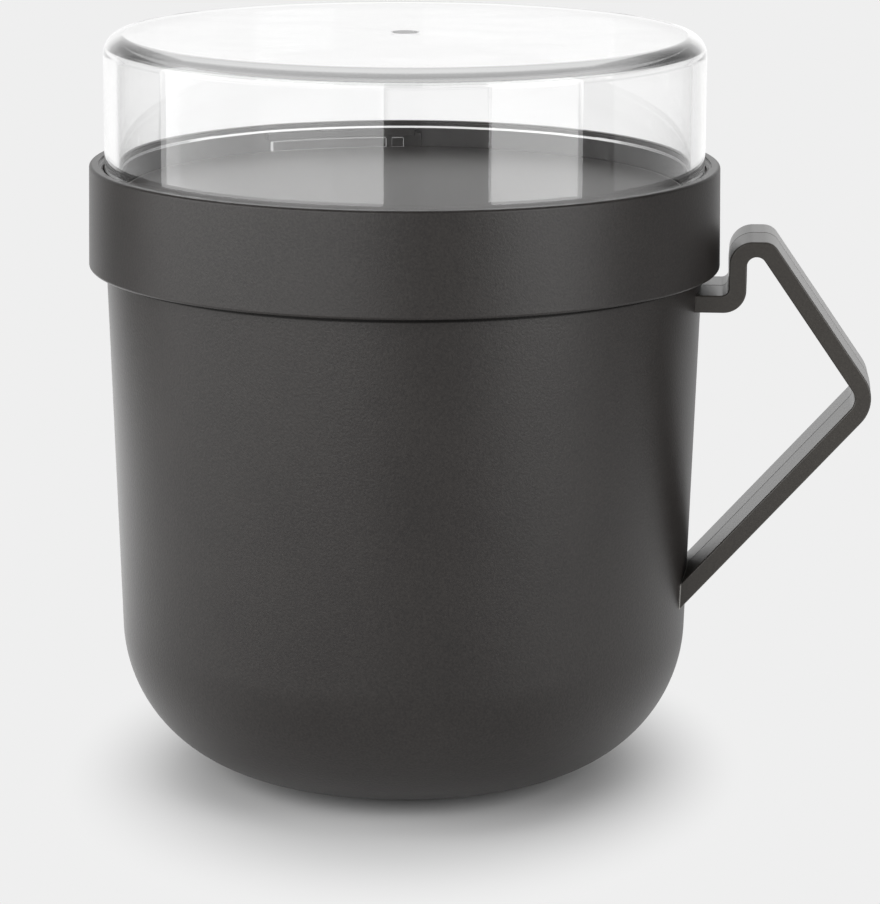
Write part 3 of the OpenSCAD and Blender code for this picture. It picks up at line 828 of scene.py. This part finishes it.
# Softboxes: bearings of their edges to the right of the camera, distances and powers
LEFT_EDGES, LEFT_REACH, LEFT_POWER, LEFT_BOXES = (-101, -7.6), 550, 1.1, 3
RIGHT_EDGES, RIGHT_REACH, RIGHT_POWER = (31, 67.5), 600, 1.9
SOFTBOX_LOW, SOFTBOX_HIGH = 5, 500
TOP_SIZE, TOP_Y, TOP_Z, TOP_POWER = 900, 100, 900, 2.3
ROOM_LIGHT = 0.2


def turned(first, second, angle):
    """Two square axes after a turn by angle, of the first towards the second."""
    return (first * math.cos(angle) + second * math.sin(angle),
            second * math.cos(angle) - first * math.sin(angle))


def camera_axes():
    """Where the camera stands, in m, and its axes to the right, up and ahead.

    It looks at TARGET first, and is then turned until that shows at TARGET_PX.
    """
    azimuth, elevation = math.radians(CAMERA_BEARING), math.radians(CAMERA_ELEVATION)
    back = Vector((math.sin(azimuth) * math.cos(elevation), -math.cos(azimuth) * math.cos(elevation),
                   math.sin(elevation)))
    ahead = -back
    right = ahead.cross(Vector((0, 0, 1))).normalized()
    right, up = turned(right, right.cross(ahead), math.radians(CAMERA_ROLL))
    yaw = math.atan((TARGET_PX[0] - IMAGE_W / 2) / FOCAL)
    pitch = math.atan((IMAGE_H / 2 - TARGET_PX[1]) / FOCAL * math.cos(yaw))
    right, ahead = turned(right, ahead, yaw)
    up, ahead = turned(up, ahead, pitch)
    return mm(TARGET + back * DISTANCE), right, up, ahead


def ramp_of(tree, factor, stops):
    """A ramp of greys over factor, from stops of (position, brightness)."""
    tone = add(tree, "ShaderNodeValToRGB", Fac=factor)
    ramp = tone.color_ramp
    for at, value in stops:
        ramp.elements.new(at).color = (value, value, value, 1)
    ramp.elements.remove(ramp.elements[0])
    ramp.elements[len(stops)].color = ramp.elements[len(stops) - 1].color
    return tone.outputs["Color"]


def bearing_of(tree, place, low, high):
    """Share of the way from bearing low to high, in degrees clockwise from +Y."""
    part = add(tree, "ShaderNodeSeparateXYZ", Vector=place)
    bearing = add(tree, "ShaderNodeMath", {"operation": "ARCTAN2"}, _0=part.outputs["X"],
                  _1=part.outputs["Y"])
    return add(tree, "ShaderNodeMapRange", Value=bearing.outputs[0], From_Min=math.radians(low),
               From_Max=math.radians(high)).outputs["Result"]


def round_the_mug(tree, place, stops):
    """A tone by bearing from the camera, to the right: stops of (degrees, brightness)."""
    opposite = add(tree, "ShaderNodeVectorMath", {"operation": "SCALE"}, _0=place, Scale=-1.0)
    around = bearing_of(tree, opposite.outputs[0], -180, 180)
    shares = [((180 - angle - CAMERA_BEARING) % 360 / 360, value) for angle, value in stops]
    return ramp_of(tree, around, shares[::-1])


def surroundings(tree, place):
    """The studio as the mug's gloss sees it: white panels with dark gaps between.

    place is a direction or a place on the floor. Higher up it's dimmer.
    """
    tone = round_the_mug(tree, place, [
        (-180, 1.05), (-165, 1.15), (-142, 1.1), (-134, 0.15), (-101, 0.15), (-97, 0.4), (-10, 0.4),
        (-4, 0.1), (28, 0.1), (34, 0.4), (66, 0.5), (70, 0.15), (140, 0.3), (153, 1.0), (168, 1.3)])
    height = add(tree, "ShaderNodeSeparateXYZ", Vector=place).outputs["Z"]
    share = add(tree, "ShaderNodeMapRange", Value=height, From_Min=0.2, From_Max=0.5, To_Min=1.0,
                To_Max=0.25)
    return add(tree, "ShaderNodeVectorMath", {"operation": "SCALE"}, _0=tone,
               Scale=share.outputs["Result"]).outputs[0]


def near_floor(tree, place, reach):
    """The floor close to the mug as the mug's gloss sees it, brighter towards the lamps."""
    tone = round_the_mug(tree, place, [
        (-180, 0.9), (-165, 1.95), (-140, 1.95), (-118, 1.4), (-100, 1.15), (-60, 0.95), (-30, 0.62),
        (30, 0.62), (60, 0.9), (100, 1.0), (140, 0.85)])
    share = add(tree, "ShaderNodeMapRange", Value=reach, From_Min=mm(NEAR_FLOOR[0]),
                From_Max=mm(NEAR_FLOOR[1]), To_Min=0.8, To_Max=1.0)
    return add(tree, "ShaderNodeVectorMath", {"operation": "SCALE"}, _0=tone,
               Scale=share.outputs["Result"]).outputs[0]


def panel(tree, sight):
    """The white floor behind the mug as the clear cap shows it.

    sight is the direction from the camera. Below the top of the cap it's dimmer
    where the cap mirrors a softbox, so that the sum stays below white. The stops
    are columns of the picture, as the place would show beside the cap.
    """
    stops = [(-40, 1.0), (-32, 0.76), (120, 0.82), (376, 0.84), (381, 1.1), (513, 1.1), (518, 0.79),
             (652, 0.74), (658, 1.04)]
    first, last = PANEL_COLUMNS
    edges = [math.degrees((x - TARGET_PX[0]) / FOCAL) - CAMERA_BEARING for x in PANEL_COLUMNS]
    zones = ramp_of(tree, bearing_of(tree, sight, *edges),
                    [((x - first) / (last - first), value) for x, value in stops])
    drop = add(tree, "ShaderNodeSeparateXYZ", Vector=sight).outputs["Z"]
    slope = add(tree, "ShaderNodeMath", {"operation": "DIVIDE"}, _0=drop,
                _1=level_length(tree, sight)).outputs[0]
    below = add(tree, "ShaderNodeMapRange", Value=slope, From_Min=TOP_SLOPES[0], From_Max=TOP_SLOPES[1])
    over_tray = add(tree, "ShaderNodeMapRange", Value=slope, From_Min=TRAY_SLOPES[0],
                    From_Max=TRAY_SLOPES[1])
    within = add(tree, "ShaderNodeMath", {"operation": "MULTIPLY"}, _0=below.outputs["Result"],
                 _1=over_tray.outputs["Result"])
    return add(tree, "ShaderNodeMix", {"data_type": "RGBA"}, _0=within.outputs[0], _6=PANEL,
               _7=zones).outputs[2]


def seen_by(tree, place, gloss, glass):
    """Colour of the backdrop: plain for camera rays, its own for mirror and glass rays.

    A ray through glass counts as a mirror ray too, so glass comes last. Towards
    the camera's side it's only for rays that no surface has mirrored on their way.
    """
    ray = add(tree, "ShaderNodeLightPath")
    mirrored = add(tree, "ShaderNodeMix", {"data_type": "RGBA"}, _0=ray.outputs["Is Glossy Ray"],
                   _6=BACKDROP, _7=gloss)
    back_side = add(tree, "ShaderNodeSeparateXYZ", Vector=place).outputs["Y"]
    behind = add(tree, "ShaderNodeMapRange", Value=back_side, From_Min=-BEHIND, From_Max=BEHIND)
    straight = add(tree, "ShaderNodeMath", {"operation": "LESS_THAN"}, _0=ray.outputs["Glossy Depth"],
                   _1=0.5)
    either = add(tree, "ShaderNodeMath", {"operation": "MAXIMUM"}, _0=straight.outputs[0],
                 _1=behind.outputs["Result"])
    passed = add(tree, "ShaderNodeMath", {"operation": "MULTIPLY"}, _0=either.outputs[0],
                 _1=ray.outputs["Is Transmission Ray"])
    return add(tree, "ShaderNodeMix", {"data_type": "RGBA"}, _0=passed.outputs[0],
               _6=mirrored.outputs[2], _7=glass).outputs[2]


def background_rays(tree):
    """1 for rays that see the background: camera, mirror and glass rays."""
    ray = add(tree, "ShaderNodeLightPath")
    shown = add(tree, "ShaderNodeMath", {"operation": "MAXIMUM"}, _0=ray.outputs["Is Camera Ray"],
                _1=ray.outputs["Is Glossy Ray"])
    return add(tree, "ShaderNodeMath", {"operation": "MAXIMUM"}, _0=shown.outputs[0],
               _1=ray.outputs["Is Transmission Ray"]).outputs[0]


def matt_paper(name, eye):
    """Matt paper, lit and shaded near the mug's foot and an even white farther away."""
    paper, tree, place = new_material(name)
    oval = add(tree, "ShaderNodeVectorMath", {"operation": "MULTIPLY"}, _0=place, _1=OVAL)
    reach = add(tree, "ShaderNodeVectorMath", {"operation": "LENGTH"}, _0=oval.outputs[0]).outputs["Value"]
    away = add(tree, "ShaderNodeMapRange", {"interpolation_type": "SMOOTHSTEP"}, Value=reach,
               From_Min=mm(LIT_FLOOR[0]), From_Max=mm(LIT_FLOOR[1]))
    shown = add(tree, "ShaderNodeMath", {"operation": "MULTIPLY"}, _0=away.outputs["Result"],
                _1=background_rays(tree))
    lit = add(tree, "ShaderNodeBsdfDiffuse", Color=linear("eaeaea"))
    sight = add(tree, "ShaderNodeVectorMath", {"operation": "SUBTRACT"}, _0=place, _1=tuple(eye))
    far = add(tree, "ShaderNodeMapRange", {"interpolation_type": "SMOOTHSTEP"}, Value=reach,
              From_Min=mm(FAR_FLOOR[0]), From_Max=mm(FAR_FLOOR[1]))
    gloss = add(tree, "ShaderNodeMix", {"data_type": "RGBA"}, _0=far.outputs["Result"],
                _6=near_floor(tree, place, reach), _7=surroundings(tree, place))
    glow = add(tree, "ShaderNodeEmission", Strength=1.0,
               Color=seen_by(tree, place, gloss.outputs[2], panel(tree, sight.outputs[0])))
    mixed = add(tree, "ShaderNodeMixShader", _0=shown.outputs[0], _1=lit.outputs["BSDF"],
                _2=glow.outputs["Emission"])
    add(tree, "ShaderNodeOutputMaterial", Surface=mixed.outputs["Shader"])
    paper.cycles.emission_sampling = "NONE"
    return paper


def studio_world(name):
    """A dim white room, with its own look for rays that see the background."""
    world = bpy.data.worlds.new(name)
    world.use_nodes = True
    tree = world.node_tree
    tree.nodes.clear()
    room = add(tree, "ShaderNodeBackground", Color=linear("ffffff"), Strength=ROOM_LIGHT)
    way = add(tree, "ShaderNodeTexCoord").outputs["Generated"]
    wall = add(tree, "ShaderNodeBackground", Color=seen_by(tree, way, surroundings(tree, way), PANEL),
               Strength=1.0)
    mixed = add(tree, "ShaderNodeMixShader", _0=background_rays(tree), _1=room.outputs[0],
                _2=wall.outputs[0])
    add(tree, "ShaderNodeOutputWorld", Surface=mixed.outputs[0])
    world.cycles.sampling_method = "NONE"
    return world


def area_lamp(name, width, height, power):
    """A rectangular lamp, its width and height in mm."""
    bpy.ops.object.light_add(type="AREA")
    lamp = bpy.context.object
    lamp.name = name
    lamp.data.shape = "RECTANGLE"
    lamp.data.size = mm(width)
    lamp.data.size_y = mm(height)
    lamp.data.energy = power
    return lamp


def softbox(name, left, right, reach, power):
    """A flat softbox that faces the mug's axis, between two bearings from the camera."""
    width = 2 * reach * math.tan(math.radians(right - left) / 2)
    lamp = area_lamp(name, width, SOFTBOX_HIGH - SOFTBOX_LOW, power)
    turn = math.radians(-90 + CAMERA_BEARING + (left + right) / 2)
    lamp.location = (mm(reach) * math.cos(turn), mm(reach) * math.sin(turn),
                     mm((SOFTBOX_LOW + SOFTBOX_HIGH) / 2))
    lamp.rotation_euler = (math.radians(90), 0, turn + math.radians(90))


eye, right, up, ahead = camera_axes()
bpy.ops.object.camera_add()
camera = bpy.context.object
camera.name = "studio_camera"
camera.data.sensor_width = SENSOR
camera.data.lens = FOCAL * SENSOR / IMAGE_H
camera.data.clip_start = 0.01
camera.data.clip_end = 50
camera.matrix_world = Matrix.Translation(eye) @ Matrix((right, up, -ahead)).transposed().to_4x4()
bpy.context.scene.camera = camera

bpy.ops.mesh.primitive_plane_add(size=16)
floor = bpy.context.object
floor.name = "studio_floor"
floor.data.materials.append(matt_paper("matt_paper_floor", eye))
bpy.context.scene.world = studio_world("studio")

span = (LEFT_EDGES[1] - LEFT_EDGES[0]) / LEFT_BOXES
for n in range(LEFT_BOXES):
    near = LEFT_EDGES[1] - n * span
    softbox(f"left_softbox_{n}", near - span, near, LEFT_REACH, LEFT_POWER)
softbox("right_softbox", *RIGHT_EDGES, RIGHT_REACH, RIGHT_POWER)
top = area_lamp("top_softbox", TOP_SIZE, TOP_SIZE, TOP_POWER)
top.location = (0, mm(TOP_Y), mm(TOP_Z))
top.visible_glossy = False
top.visible_transmission = False

bpy.context.scene.view_settings.view_transform = "Standard"
# The flat top of the cap guides light sideways by many reflections inside it.
bpy.context.scene.cycles.max_bounces = 24
bpy.context.scene.cycles.glossy_bounces = 20
bpy.context.scene.cycles.transmission_bounces = 20
